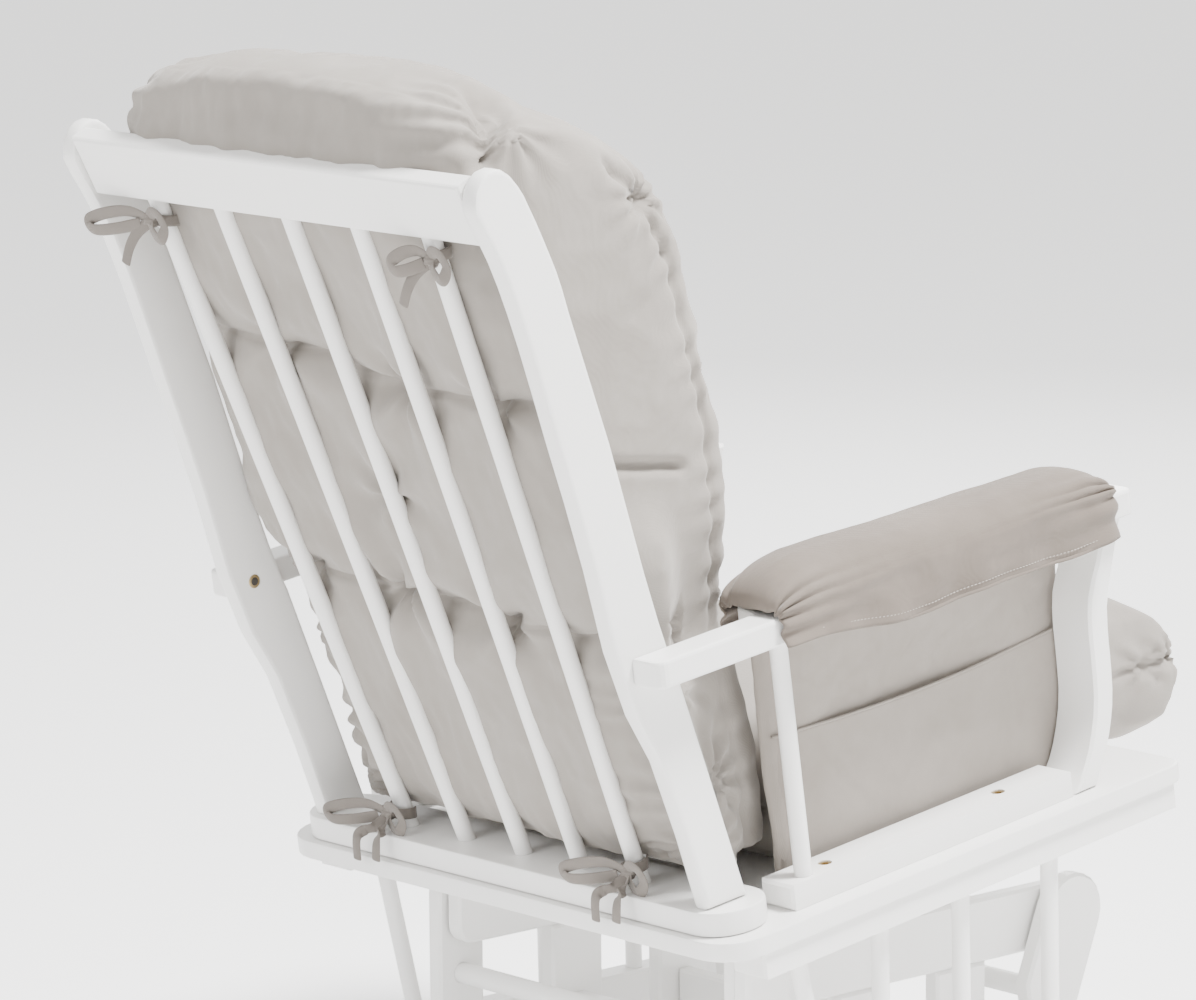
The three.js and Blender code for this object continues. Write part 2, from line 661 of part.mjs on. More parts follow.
function runner() {
  const rear = REAR_PIVOT_Y + RUNNER_REAR_END;
  const front = frontPivotY - RUNNER_FRONT_END;
  const outline = roundedOutline([
    [rear, RUNNER_HEIGHT, RUNNER_END_RADIUS],
    [front, RUNNER_HEIGHT, RUNNER_END_RADIUS],
    [front, 0, 2 * EDGE],
    [rear, 0, 2 * EDGE],
  ]);
  return acrossX(slab(outline, RUNNER_WIDTH), baseBoardMiddle - RUNNER_WIDTH / 2);
}

function baseStretcher(y) {
  const reach = baseBoardInside - SEATED;
  const bottom = RUNNER_HEIGHT + STRETCHER_LIFT;
  const top = bottom + STRETCHER_HEIGHT;
  const outline = [[reach, top], [-reach, top], [-reach, bottom], [reach, bottom]];
  return alongY(slab(outline, STRETCHER_THICK), y + STRETCHER_THICK / 2);
}

function seatCushion() {
  const half = coverInside - SEAT_CUSHION_SIDE_GAP;
  const bottom = SEAT_THICK + RUNNING;
  const top = SEAT_THICK + SEAT_CUSHION_HEIGHT;
  const front = fromFront(-SEAT_CUSHION_OVERHANG);
  const outline = roundedOutline([
    [SEAT_CUSHION_REAR_Y, top, SEAT_CUSHION_EDGE],
    [front, top, SEAT_CUSHION_EDGE],
    [front, bottom, SEAT_CUSHION_EDGE],
    [SEAT_CUSHION_REAR_Y, bottom, SEAT_CUSHION_EDGE],
  ]);
  return acrossX(slab(outline, 2 * half, SEAT_CUSHION_EDGE / 2, 2), -half);
}

// the cushion stands between the uprights below and spreads in front of them above
function backCushion() {
  const clear = 4 * RUNNING;
  const behind = SPINDLE_DIAMETER / 2 + 2 * RUNNING;
  const spindleLean = (TOP_RAIL_FOOT_Y - BACK_SPINDLE_FOOT_Y) / TOP_RAIL_FOOT_RISE;
  const againstSpindles = (rise) => [BACK_SPINDLE_FOOT_Y - behind + spindleLean * rise, rise];
  const railFace = TOP_RAIL_FOOT_Y - TOP_RAIL_THICK / 2 / Math.cos(TOP_RAIL_LEAN) - 2 * RUNNING;
  const railRise = TOP_RAIL_HEIGHT * Math.cos(TOP_RAIL_LEAN);
  const core = [
    againstSpindles(2 * RUNNING),
    againstSpindles(TOP_RAIL_FOOT_RISE - TOP_RAIL_THICK),
    [railFace, TOP_RAIL_FOOT_RISE],
    [railFace + TOP_RAIL_HEIGHT * Math.sin(TOP_RAIL_LEAN), TOP_RAIL_FOOT_RISE + railRise],
    ...BACK_CUSHION_TOP,
    ...BACK_CUSHION_FRONT,
  ];
  const beforeUprights = UPRIGHT_FRONT.slice(0, BACK_CUSHION_WING_POINTS - 1).reverse();
  const [crest, brow, chin] = UPRIGHT_SCROLL.slice(3);
  const wings = [
    ...beforeUprights.map(([y, rise]) => [y - clear, rise]),
    [chin[0] - clear, chin[1]],
    [brow[0] - clear, brow[1] + clear],
    [crest[0] - clear, crest[1] + 2 * clear],
    ...BACK_CUSHION_TOP.slice(1),
    ...BACK_CUSHION_FRONT.slice(0, BACK_CUSHION_WING_POINTS),
  ];
  const coreHalf = coverInside - BACK_CUSHION_LOWER_GAP;
  const wingHalf = uprightFootInside + UPRIGHT_THICK - BACK_CUSHION_UPPER_INSET;
  const pillow = joined(
    acrossX(slab(core, 2 * coreHalf, 2 * RUNNING), -coreHalf),
    acrossX(slab(wings, 2 * wingHalf, 2 * RUNNING), -wingHalf),
  );
  return pillow.translate(0, 0, backRailTop);
}

// a board of cloth in the plane of y and z, from x outwards
function clothBoard(x, thick, rear, front, bottom, top) {
  const outline = [[rear, top], [front, top], [front, bottom], [rear, bottom]];
  return acrossX(slab(outline, thick, 1), x);
}

// a padded sleeve over the arm whose inner side hangs to the arm base rail and holds an open pocket
function armCover() {
  const rear = COVER_REAR_Y;
  const skirt = ARM_UNDERSIDE - COVER_SKIRT;
  const roof = armTop + RUNNING;
  const top = armTop + COVER_RISE;
  const shoulder = (top + roof) / 2;
  const sleeve = roundedOutline([
    [coverOutside, skirt],
    [coverOutside, shoulder, COVER_WALL],
    [coverOutside - COVER_CHAMFER, top, COVER_CHAMFER],
    [coverInside + COVER_CHAMFER, top, COVER_CHAMFER],
    [coverInside, shoulder, COVER_WALL],
    [coverInside, skirt],
    [coverInside + COVER_WALL, skirt],
    [coverInside + COVER_WALL, roof],
    [coverOutside - COVER_WALL, roof],
    [coverOutside - COVER_WALL, skirt],
  ], 3);
  const padding = alongY(slab(sleeve, rear - fromFront(COVER_FRONT_SETBACK), 1), rear);
  const foot = armBaseTop - PANEL_LAP;
  const panel = clothBoard(coverInside, COVER_WALL, PANEL_REAR_Y, fromFront(PANEL_FRONT_SETBACK), foot, roof);
  const pocketThick = COVER_WALL + POCKET_DEPTH + POCKET_WALL;
  const pocketFront = fromFront(POCKET_FRONT_SETBACK);
  const mouth = foot + POCKET_HEIGHT;
  const pocket = clothBoard(coverInside, pocketThick, POCKET_REAR_Y, pocketFront, foot, mouth);
  const hollow = clothBoard(
    coverInside + COVER_WALL,
    POCKET_DEPTH,
    POCKET_REAR_Y - POCKET_WALL,
    pocketFront + POCKET_WALL,
    foot + POCKET_WALL,
    mouth + POCKET_HEIGHT,
  );
  const mouthHollow = solid(hollow).intersect(solid(pocket));
  return surface(solid(padding).add(solid(panel)).add(solid(pocket).subtract(mouthHollow)));
}

function buildSeat() {
  const seat = new THREE.Group();
  seat.name = "seat";
  const tilted = new THREE.Group();
  tilted.name = "tilted_seat";
  tilted.position.z = SEAT_REAR_HEIGHT;
  tilted.rotation.x = -SEAT_TILT;
  tilted.add(node("seat_board", seatBoard(), paint()));
  pair(tilted, "under_rail", underRail(), paint);
  pair(tilted, "arm_base_rail", armBaseRail(), paint);
  pair(tilted, "arm_post", armPost(), paint);
  pair(tilted, "arm_spindle", bar(...armSpindleLine(), SPINDLE_DIAMETER / 2), paint);
  pair(tilted, "arm", arm(), paint);
  tilted.add(node("back_rail", backRail(), paint()));
  pair(tilted, "upright", upright(), paint);
  tilted.add(node("top_rail", topRail(), paint()));
  for (let index = 0; index < BACK_SPINDLES; index += 1) {
    tilted.add(node(`back_spindle_${index + 1}`, bar(...backSpindle(index), SPINDLE_DIAMETER / 2), paint()));
  }
  pair(tilted, "arm_bolt_rear", bolt(armBoltYs[0]), brass);
  pair(tilted, "arm_bolt_front", bolt(armBoltYs[1]), brass);
  tilted.add(node("seat_cushion", seatCushion(), fabric()));
  tilted.add(node("back_cushion", backCushion(), fabric()));
  pair(tilted, "arm_cover", armCover(), darkFabric);
  seat.add(tilted);
  pair(seat, "lower_rail", lowerRail(), paint);
  sideSpindleYs.forEach((y, index) => {
    pair(seat, `side_spindle_${index + 1}`, bar(...sideSpindle(index), SPINDLE_DIAMETER / 2), paint);
  });
  seat.add(node("rear_axle", bar(...axleEnds(REAR_PIVOT_Y), PIVOT_DIAMETER / 2), steel()));
  seat.add(node("front_axle", bar(...axleEnds(frontPivotY), PIVOT_DIAMETER / 2), steel()));
  return seat;
}

function buildSwing(name, link, dowel) {
  const swing = new THREE.Group();
  swing.name = name;
  pair(swing, `${name}_link`, link, paint);
  swing.add(node(`${name}_dowel`, bar(...dowel, SWING_DOWEL_DIAMETER / 2), paint()));
  return swing;
}

function buildBase() {
  const base = new THREE.Group();
  base.name = "base";
  pair(base, "runner", runner(), paint);
  pair(base, "base_post_rear", basePost(basePostYs[0]), paint);
  pair(base, "base_post_front", basePost(basePostYs[1]), paint);
  pair(base, "base_rail", baseRail(), paint);
  base.add(node("base_stretcher_rear", baseStretcher(basePostYs[0]), paint()));
  base.add(node("base_stretcher_front", baseStretcher(basePostYs[1]), paint()));
  pair(base, "pivot_pin_rear", bar(...upperPivotEnds(REAR_PIVOT_Y), PIVOT_DIAMETER / 2), steel);
  pair(base, "pivot_pin_front", bar(...upperPivotEnds(frontPivotY), PIVOT_DIAMETER / 2), steel);
  return base;
}

const chair = new THREE.Group();
chair.name = "glider_nursery_chair";
chair.add(buildBase());
chair.add(buildSwing("rear_swing", rearLink(), rearDowel));
chair.add(buildSwing("front_swing", frontLink(), frontDowel));
chair.add(buildSeat());
chair.updateMatrixWorld(true);

// the origin stands at the middle of the footprint, on the floor
const extent = new THREE.Box3().setFromObject(chair, true);
const middle = extent.getCenter(new THREE.Vector3());
chair.position.set(-middle.x, -middle.y, -extent.min.z);

export default chair;
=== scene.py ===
import json
import math

import bmesh
import bpy
from mathutils import Matrix, Quaternion, Vector, noise


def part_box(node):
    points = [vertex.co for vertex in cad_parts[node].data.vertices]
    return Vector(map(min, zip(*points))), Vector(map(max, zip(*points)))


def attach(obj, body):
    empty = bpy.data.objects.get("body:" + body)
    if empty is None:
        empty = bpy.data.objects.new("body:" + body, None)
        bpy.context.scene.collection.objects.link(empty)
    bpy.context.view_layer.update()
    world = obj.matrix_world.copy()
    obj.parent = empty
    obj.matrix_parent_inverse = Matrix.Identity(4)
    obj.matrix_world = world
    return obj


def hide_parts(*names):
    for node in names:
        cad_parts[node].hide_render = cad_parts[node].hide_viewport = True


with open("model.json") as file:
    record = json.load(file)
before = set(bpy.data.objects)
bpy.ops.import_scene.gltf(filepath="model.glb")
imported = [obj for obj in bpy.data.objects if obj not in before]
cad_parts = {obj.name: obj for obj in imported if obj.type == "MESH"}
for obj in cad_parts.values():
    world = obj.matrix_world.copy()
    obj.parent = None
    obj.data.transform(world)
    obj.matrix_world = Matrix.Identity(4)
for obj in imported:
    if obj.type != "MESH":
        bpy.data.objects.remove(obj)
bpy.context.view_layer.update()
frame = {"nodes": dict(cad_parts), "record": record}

# The chair stands in the frame's own axes. The tilted seat has a frame of its own: its origin is the
# rear bottom edge of the seat board, its Y runs back along the board and its Z stands square to it.
SEAT_TILT = math.radians(8.1)
SEAT_HEIGHT = 0.290
AXLE_BEFORE_EDGE = 0.141
MM = 0.001

axle_low, axle_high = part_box("rear_axle")
SEAT_EDGE = Vector((0, (axle_low[1] + axle_high[1]) / 2 + AXLE_BEFORE_EDGE, SEAT_HEIGHT))
SEAT_PLACE = Matrix.Translation(SEAT_EDGE) @ Matrix.Rotation(-SEAT_TILT, 4, "X")
SEAT_BACK = SEAT_PLACE.inverted()
RIGHT, LEFT = -1, 1
SIDE_NAMES = {RIGHT: "right", LEFT: "left"}


# camera, floor and light

def place_camera():
    yaw, drop, roll = math.radians(48.395), math.radians(9.721), math.radians(-0.458)
    forward = Vector((math.sin(yaw) * math.cos(drop), -math.cos(yaw) * math.cos(drop), -math.sin(drop)))
    lens = bpy.data.cameras.new("camera")
    lens.sensor_width = 36
    lens.lens = 183.37
    lens.clip_end = 50
    camera = bpy.data.objects.new("camera", lens)
    camera.location = (-4.449, SEAT_EDGE.y + 3.814, 1.702)
    camera.rotation_mode = "QUATERNION"
    camera.rotation_quaternion = forward.to_track_quat("-Z", "Y") @ Quaternion((0, 0, 1), roll)
    bpy.context.scene.collection.objects.link(camera)
    bpy.context.scene.camera = camera


def area_light(name, place, aim, size, power):
    lamp = bpy.data.lights.new(name, "AREA")
    lamp.shape = "DISK"
    lamp.size = size
    lamp.energy = power
    light = bpy.data.objects.new(name, lamp)
    light.location = place
    light.rotation_mode = "QUATERNION"
    light.rotation_quaternion = (Vector(aim) - Vector(place)).to_track_quat("-Z", "Y")
    bpy.context.scene.collection.objects.link(light)


def light_studio():
    world = bpy.data.worlds.new("studio")
    bpy.context.scene.world = world
    world.use_nodes = True
    sky = world.node_tree.nodes["Background"]
    sky.inputs["Color"].default_value = (1.0, 0.995, 0.985, 1)
    sky.inputs["Strength"].default_value = 1.25
    middle = (0, 0, 0.6)
    area_light("key", (-1.6, -0.6, 4.0), middle, 1.1, 560)
    area_light("back_fill", (0.4, 4.4, 2.6), middle, 2.4, 90)
    area_light("front_fill", (2.6, -3.4, 2.6), middle, 2.0, 110)


# materials

THREADS_PER_METRE = 330.0


class Mask:
    """A number that changes over a surface, for use in plain arithmetic."""

    def __init__(self, finish, socket):
        self.finish = finish
        self.socket = socket

    def math(self, operation, *values):
        return self.finish.node("ShaderNodeMath", {"operation": operation}, dict(enumerate(values)))

    def __add__(self, other):
        return self.math("ADD", self, other)

    def __mul__(self, other):
        return self.math("MULTIPLY", self, other)

    __radd__ = __add__
    __rmul__ = __mul__


class Finish:
    """One material, built on its Principled shader."""

    def __init__(self, name, **constants):
        self.material = bpy.data.materials.new(name)
        self.material.use_nodes = True
        self.nodes = self.material.node_tree.nodes
        self.shader = self.nodes["Principled BSDF"]
        for socket, value in constants.items():
            self.join(self.shader.inputs[socket.replace("_", " ")], value)
        self.place = self.node("ShaderNodeTexCoord", out="Object")

    def join(self, socket, value):
        if isinstance(value, Mask):
            self.material.node_tree.links.new(value.socket, socket)
        elif isinstance(value, tuple) and len(value) == 3 and socket.type == "RGBA":
            socket.default_value = (*value, 1)
        else:
            socket.default_value = value

    def node(self, kind, settings=None, sockets=None, out=0):
        made = self.nodes.new(kind)
        for setting, value in (settings or {}).items():
            setattr(made, setting, value)
        for socket, value in (sockets or {}).items():
            self.join(made.inputs[socket], value)
        return Mask(self, made.outputs[out])

    def stretched(self, scale):
        return self.node("ShaderNodeMapping", sockets={"Vector": self.place, "Scale": scale})

    def noise(self, scale, detail=2.0, roughness=0.5, place=None):
        sockets = {"Vector": place or self.place, "Scale": scale, "Detail": detail, "Roughness": roughness}
        return self.node("ShaderNodeTexNoise", sockets=sockets)

    def threads(self, direction):
        settings = {"wave_type": "BANDS", "bands_direction": direction}
        sockets = {"Vector": self.place, "Scale": THREADS_PER_METRE}
        return self.node("ShaderNodeTexWave", settings, sockets, out="Fac")

    def mix(self, factor, first, second):
        settings = {"data_type": "RGBA"}
        return self.node("ShaderNodeMix", settings, {0: factor, 6: first, 7: second}, out=2)

    def ramp(self, value, low, high):
        sockets = {"Value": value, "From Min": low, "From Max": high}
        return self.node("ShaderNodeMapRange", {"clamp": True}, sockets)

    def bump(self, height, distance, strength=1.0, under=None):
        sockets = {"Height": height, "Distance": distance, "Strength": strength}
        if under:
            sockets["Normal"] = under
        return self.node("ShaderNodeBump", sockets=sockets)

    def shade(self, **varying):
        for socket, value in varying.items():
            self.join(self.shader.inputs[socket.replace("_", " ")], value)
        return self.material


def white_paint(name, grain):
    """Satin paint, brushed on along the wood, its grain just showing."""
    finish = Finish(name, Coat_Roughness=0.28, Specular_IOR_Level=0.45)
    along = finish.stretched(grain)
    fibres = finish.noise(9.0, 5.0, 0.6, along)
    brush = finish.noise(26.0, 2.0, 0.5, along)
    cloudy = finish.noise(3.0, 3.0)
    scuffs = finish.ramp(finish.noise(42.0, 6.0, 0.62), 0.66, 0.78)
    colour = finish.mix(cloudy, (0.80, 0.792, 0.775), (0.845, 0.838, 0.822))
    colour = finish.mix(fibres * 0.18, colour, (0.74, 0.727, 0.70))
    colour = finish.mix(scuffs * 0.16, colour, (0.66, 0.635, 0.59))
    normal = finish.bump(fibres + brush * 0.35, 0.00035, 0.5)
    rough = 0.34 + 0.12 * brush + 0.10 * scuffs
    return finish.shade(Base_Color=colour, Roughness=rough, Normal=normal, Coat_Weight=0.25)


def microfibre(name, lit, shade, nap=1.0):
    """Short brushed cloth: a fine nap over a plain weave, with painted light and shade in random patches where
    the nap was stroked.
    """
    finish = Finish(name, Sheen_Weight=0.30, Sheen_Roughness=0.42, Sheen_Tint=(1.0, 0.97, 0.94),
                    Specular_IOR_Level=0.22)
    nap_light_and_shade = finish.ramp(finish.noise(7.0, 4.0, 0.58), 0.32, 0.68)
    mottled = finish.ramp(finish.noise(60.0, 4.0, 0.6), 0.3, 0.7)
    fine = finish.noise(1500.0, 2.0, 0.7)
    warp = finish.threads("X")
    weft = finish.threads("Z")
    # painted light and shade: the cloth's lit and shaded tones, mixed in random patches
    colour = finish.mix(nap_light_and_shade * 0.75, shade, lit)
    colour = finish.mix(mottled * 0.16, colour, tuple(0.88 * part for part in shade))
    colour = finish.mix(fine * 0.14, colour, tuple(0.72 * part for part in shade))
    slack = finish.bump(finish.noise(34.0, 3.0, 0.55), 0.0011, 0.42)
    weave = finish.bump(warp * weft + 0.9 * fine, 0.00022, 0.6 * nap, slack)
    rough = 0.80 + 0.12 * mottled
    return finish.shade(Base_Color=colour, Roughness=rough, Normal=weave)


def dull_metal(name, light, dark, metallic, rough):
    finish = Finish(name, Metallic=metallic)
    tarnish = finish.ramp(finish.noise(90.0, 5.0, 0.6), 0.35, 0.7)
    turned = finish.noise(400.0, 2.0, 0.5, finish.stretched((0.05, 1, 1)))
    normal = finish.bump(turned, 0.0001, 0.4)
    colour = finish.mix(tarnish, light, dark)
    return finish.shade(Base_Color=colour, Roughness=rough + 0.18 * tarnish, Normal=normal)


def floor_finish():
    finish = Finish("pale_floor", Specular_IOR_Level=0.2, Emission_Strength=0.55)
    speckle = finish.noise(14.0, 3.0)
    colour = finish.mix(speckle, (0.93, 0.928, 0.924), (0.95, 0.949, 0.946))
    return finish.shade(Base_Color=colour, Emission_Color=colour, Roughness=0.85 + 0.05 * speckle)


GRAIN = {
    "x": white_paint("paint_grain_across", (0.12, 1, 1)),
    "y": white_paint("paint_grain_lengthwise", (1, 0.12, 1)),
    "z": white_paint("paint_grain_upright", (1, 1, 0.12)),
}
# each cloth gets a lit and a shaded tone, mixed in patches as painted light and shade
CUSHION_CLOTH = microfibre("cushion_microfibre", (0.335, 0.308, 0.278), (0.262, 0.238, 0.212))
COVER_CLOTH = microfibre("arm_cover_microfibre", (0.205, 0.174, 0.147), (0.152, 0.126, 0.105))
PANEL_CLOTH = microfibre("side_panel_microfibre", (0.375, 0.338, 0.302), (0.305, 0.272, 0.240))
TIE_CLOTH = microfibre("tie_microfibre", (0.215, 0.193, 0.172), (0.165, 0.146, 0.129))
THREAD = microfibre("sewing_thread", (0.40, 0.37, 0.335), (0.32, 0.292, 0.262), 0.4)
BRASS = dull_metal("dull_brass", (0.56, 0.43, 0.23), (0.33, 0.25, 0.14), 1.0, 0.34)
STEEL = dull_metal("zinc_plated_steel", (0.60, 0.61, 0.62), (0.42, 0.43, 0.45), 1.0, 0.32)
# painted shade: a near-black material for the hole of a socket, where only shade falls
SHADOW = dull_metal("socket_painted_shade", (0.05, 0.042, 0.035), (0.02, 0.018, 0.015), 0.0, 0.7)


# pieces

def finished(name, mesh_maker, material, body="seat", tilted=True):
    """Closes a bmesh into a piece that rides on a body, in its place in the chair."""
    mesh_maker.normal_update()
    mesh = bpy.data.meshes.new(name)
    if tilted:
        bmesh.ops.transform(mesh_maker, matrix=SEAT_PLACE, verts=mesh_maker.verts)
    mesh_maker.to_mesh(mesh)
    mesh_maker.free()
    mesh.materials.append(material)
    mesh.polygons.foreach_set("use_smooth", [True] * len(mesh.polygons))
    piece = bpy.data.objects.new(name, mesh)
    bpy.context.scene.collection.objects.link(piece)
    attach(piece, body)
    return piece


def smoothstep(low, high, value):
    share = min(max((value - low) / (high - low), 0), 1)
    return share * share * (3 - 2 * share)


def through(stops, value):
    """Reads a smooth line through (position, value) stops, in rising order of position."""
    if value <= stops[0][0]:
        return stops[0][1]
    for (before, low), (after, high) in zip(stops, stops[1:]):
        if value <= after:
            share = (value - before) / (after - before)
            return low + (high - low) * share * share * (3 - 2 * share) * 0.4 + (high - low) * share * 0.6
    return stops[-1][1]


CLOTH_VOXEL = 0.0085
CLOTH_FRAMES = 20


def fine_box(cuts):
    """A cube from -1 to 1 with a fine even grid on its faces."""
    maker = bmesh.new()
    bmesh.ops.create_cube(maker, size=2)
    bmesh.ops.subdivide_edges(maker, edges=maker.edges, cuts=cuts, use_grid_fill=True)
    return maker


def swell(piece, pressure, reach):
    """Blows a cover up with filling: remeshed, run as cloth under pressure, each point held within reach."""
    remesh = piece.modifiers.new("even_cloth", "REMESH")
    remesh.mode = "VOXEL"
    remesh.voxel_size = CLOTH_VOXEL
    apply_modifiers(piece)
    start = [vertex.co.copy() for vertex in piece.data.vertices]
    cloth = piece.modifiers.new("cloth", "CLOTH")
    cloth.settings.quality = 5
    cloth.settings.mass = 0.3
    cloth.settings.tension_stiffness = 12
    cloth.settings.compression_stiffness = 8
    cloth.settings.bending_stiffness = 0.6
    cloth.settings.use_pressure = True
    cloth.settings.uniform_pressure_force = pressure
    cloth.settings.effector_weights.gravity = 0
    cloth.collision_settings.use_collision = False
    scene = bpy.context.scene
    for step in range(1, CLOTH_FRAMES + 1):
        scene.frame_set(step)
    apply_modifiers(piece)
    scene.frame_set(1)
    for vertex, first in zip(piece.data.vertices, start):
        move = vertex.co - first
        if move.length > reach:
            vertex.co = first + move * (reach / move.length)


def apply_modifiers(piece):
    graph = bpy.context.evaluated_depsgraph_get()
    mesh = bpy.data.meshes.new_from_object(piece.evaluated_get(graph), depsgraph=graph)
    piece.modifiers.clear()
    piece.data = mesh
    mesh.polygons.foreach_set("use_smooth", [True] * len(mesh.polygons))


def refine(piece):
    """One subdivision, so that seams and gathers can be pressed in finely."""
    add_subdivision(piece)
    apply_modifiers(piece)


def add_subdivision(piece):
    soften = piece.modifiers.new("soften", "SUBSURF")
    soften.levels = 1
    soften.render_levels = 1


def add_thickness(piece, wall):
    solid = piece.modifiers.new("cloth_thickness", "SOLIDIFY")
    solid.thickness = wall * MM
    solid.offset = 0


def to_seat(place):
    return SEAT_BACK @ place


def press(piece, depth_at):
    """Moves each point along its normal by depth_at(place in the seat frame in mm, normal there)."""
    mesh = piece.data
    turn = SEAT_BACK.to_3x3()
    moves = []
    for vertex in mesh.vertices:
        place = to_seat(vertex.co) / MM
        moves.append(depth_at(place, turn @ vertex.normal) * MM)
    for vertex, move, normal in zip(mesh.vertices, moves, [v.normal.copy() for v in mesh.vertices]):
        vertex.co += normal * move
    mesh.update()


def from_line(place, line):
    """Distance from a place to a broken line, and how far along it the nearest point is."""
    best, along, run = 1e9, 0.0, 0.0
    for start, end in zip(line, line[1:]):
        span = end - start
        length = span.length
        share = min(max((place - start).dot(span) / (length * length), 0), 1)
        gap = (place - start - span * share).length
        if gap < best:
            best, along = gap, run + length * share
        run += length
    return best, along


def groove(gap, width, depth):
    return -depth * math.exp(-(gap / width) ** 2)


def gathers(place, centre, reach, pleats, depth, spread, phase=0.0):
    """Pleats that fan out from a pulled point; spread gives the angle round it."""
    arm = place - centre
    gap = arm.length
    if gap > reach:
        return 0
    fade = (1 - gap / reach) ** 1.4
    pleat = depth * fade * (math.sin(spread(arm) * pleats + phase) - 0.35)
    return pleat - depth * 1.2 * math.exp(-(gap / 11) ** 2)


def fan_on_corner(arm):
    return math.atan2(arm.z, math.hypot(arm.x, arm.y) * 0.9)


def fan_on_side(arm):
    return math.atan2(arm.z, -arm.y * 0.9 + 0.2 * arm.x)


def fan_on_rear(arm):
    return math.atan2(arm.z, arm.x)


def crumple(place, size, depth, stretch=(1, 1, 1)):
    """Soft swells and slack folds in a loose cover."""
    spot = Vector(a * b for a, b in zip(place, stretch)) / size
    broad = noise.noise(spot)
    folded = 1 - abs(noise.noise(spot * 1.6 + Vector((7.3, 1.1, 4.2)))) * 2
    small = noise.noise(spot * 4.1 + Vector((2.7, 9.4, 5.8)))
    return depth * (0.8 * broad + 0.35 * folded + 0.14 * small)


# seat cushion

PAD_SEAM, PAD_MIDDLE = 84, -455
PAD_HALF_WIDTH = 240


def seat_cushion():
    """A box cushion with a mid seam round its sides, crowned on top and rolled over at the front."""
    maker = fine_box(30)
    for vertex in maker.verts:
        across, along, up = vertex.co
        rim = 1 - 0.012 * max(-along, 0) ** 4
        x = across * PAD_HALF_WIDTH * rim
        crown = 69 - 13 * abs(across) ** 3 - 10 * max(along, 0) ** 5 - 10 * max(-along, 0) ** 6
        reach_front = 287 * (1 - 0.03 * max(up, 0) ** 2)
        reach_front += 19 * max(along, 0) ** 2
        y = -along * reach_front
        hang = 60 + 13 * smoothstep(0.70, 0.88, along) - 5 * abs(across) ** 5
        z = PAD_SEAM + up * (crown if up > 0 else hang)
        squeeze = 1 - 0.055 * abs(up) ** 3
        vertex.co = Vector((x * squeeze, PAD_MIDDLE + y * squeeze, z)) * MM
    piece = finished("seat_cushion_cover", maker, CUSHION_CLOTH)
    swell(piece, 5.0, 0.016)
    refine(piece)
    corners = [Vector((side * 238, y, PAD_SEAM + 2)) for side in (RIGHT, LEFT) for y in (-700, -738)]

    def depth_at(place, normal):
        depth = 0
        if abs(normal.z) < 0.82:
            depth += groove(place.z - PAD_SEAM, 2.8, 3.4)
            depth += 0.8 * math.sin(place.y * 0.16) * math.exp(-((place.z - PAD_SEAM) / 22) ** 2)
        for corner in corners:
            depth += gathers(place, corner, 60, 9, 3.2, fan_on_corner)
            away = place - corner
            depth -= 8 * math.exp(-Vector((away.x / 9, away.y / 6, away.z / 15)).length_squared)
        return depth + crumple(place, 120, 2.0) * smoothstep(0, 60, place.z - 30)

    press(piece, depth_at)
    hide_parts("seat_cushion")
    return piece


# back cushion

BACK_TOP = [(0, 886), (120, 881), (208, 868), (250, 853), (290, 826)]
BACK_FRONT = [(50, -172), (150, -168), (250, -156), (345, -142), (421, -138), (490, -138), (550, -134),
              (601, -126), (637, -119), (682, -110), (735, -92), (767, -76), (801, -48), (830, -8), (850, 40)]
BACK_HALF = [(50, 240), (290, 242), (330, 258), (420, 283), (560, 287), (700, 291), (790, 291),
             (850, 284)]
UPPER_CHANNEL, LOWER_CHANNEL, SIDE_CHANNEL = 570, 317, 490
SPINDLE_LEAN = 0.263


def rear_face(height):
    """Where the spindles hold the cushion, and above the top rail, where it rolls back over it."""
    behind = -42 + SPINDLE_LEAN * (height - 45) - 11
    return behind + 20 * smoothstep(770, 800, height) - 14 * smoothstep(822, 872, height)


def back_cushion():
    """A tall loose cushion: flat on the spindles, full in front, rolled over the top rail."""
    maker = fine_box(34)
    for vertex in maker.verts:
        across, through_pad, up = vertex.co
        share = (up + 1) / 2
        top = through(BACK_TOP, abs(across) * 288)
        z = 52 + (top - 52) * share
        half = through(BACK_HALF, z)
        front, rear = through(BACK_FRONT, z), rear_face(z)
        middle = (front + rear) / 2
        depth = (rear - front) / 2
        edge = max(abs(across), abs(up))
        forward = 1 - 0.13 * abs(across) ** 8 - 0.20 * max(up, 0) ** 8 - 0.12 * max(-up, 0) ** 6
        rearward = 1 - 0.11 * abs(across) ** 6 - 0.24 * max(up, 0) ** 9 - 0.05 * edge ** 8
        y = middle + through_pad * depth * (forward if through_pad < 0 else rearward)
        spread = 26 * smoothstep(-0.1, 0.5, through_pad) * smoothstep(470, 380, z)
        x = across * (half + spread) * (1 - 0.035 * abs(through_pad) ** 3) * (1 - 0.02 * max(up, 0) ** 6)
        round_top = 12 * abs(through_pad) ** 2.4 * smoothstep(0.8, 1, share)
        vertex.co = Vector((x, y, z - round_top)) * MM
    piece = finished("back_cushion_cover", maker, CUSHION_CLOTH)
    swell(piece, 4.0, 0.010)
    refine(piece)
    press(piece, back_cushion_detail)
    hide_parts("back_cushion")
    return piece


FRONT_SEAM = [Vector((0, y, z)) for y, z in
              [(-126, 60), (-116, 300), (-104, 431), (-104, 500), (-92, 571), (-76, 666), (-46, 730),
               (-8, 778)]]
REAR_SEAM = [Vector((0, y, z)) for y, z in
             [(-30, 60), (18, 300), (58, 450), (92, 580), (118, 680), (134, 760)]]


